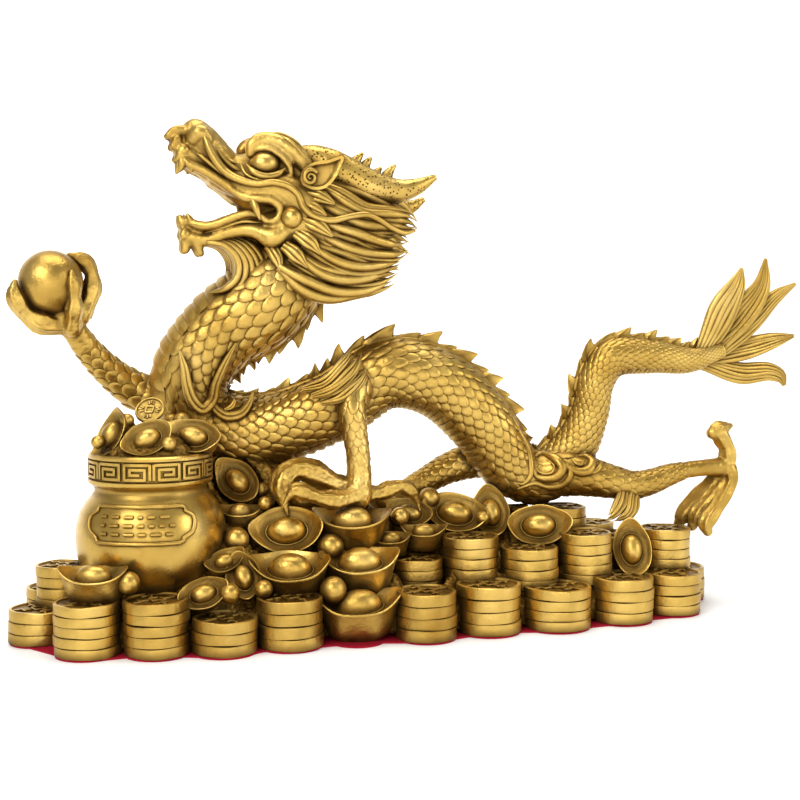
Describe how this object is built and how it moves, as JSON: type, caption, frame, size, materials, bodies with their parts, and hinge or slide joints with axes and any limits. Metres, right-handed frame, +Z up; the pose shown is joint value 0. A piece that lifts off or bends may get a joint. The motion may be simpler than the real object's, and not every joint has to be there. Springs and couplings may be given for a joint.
{
  "type": "dragon sculpture",
  "caption": "Cast brass dragon that lifts a ball over a bed of coin stacks, boat-shaped ingots, pearls and a round treasure pot, on a felt lining.",
  "frame": {"origin": "middle of the underside of the felt lining, at the middle of the whole box", "axes": "+X from the dragon's head to its tail, -Y towards the show side, +Z up"},
  "size_m": [0.396, 0.126, 0.2302],
  "materials": {
    "brass": "satin cast brass, brushed bright on the high places, brown in the carving",
    "felt": "red felt"
  },
  "bodies": {
    "root": {"brass_casting": "brass", "front_leg": "brass", "hind_leg": "brass", "felt_lining": "felt"}
  },
  "joints": []
}
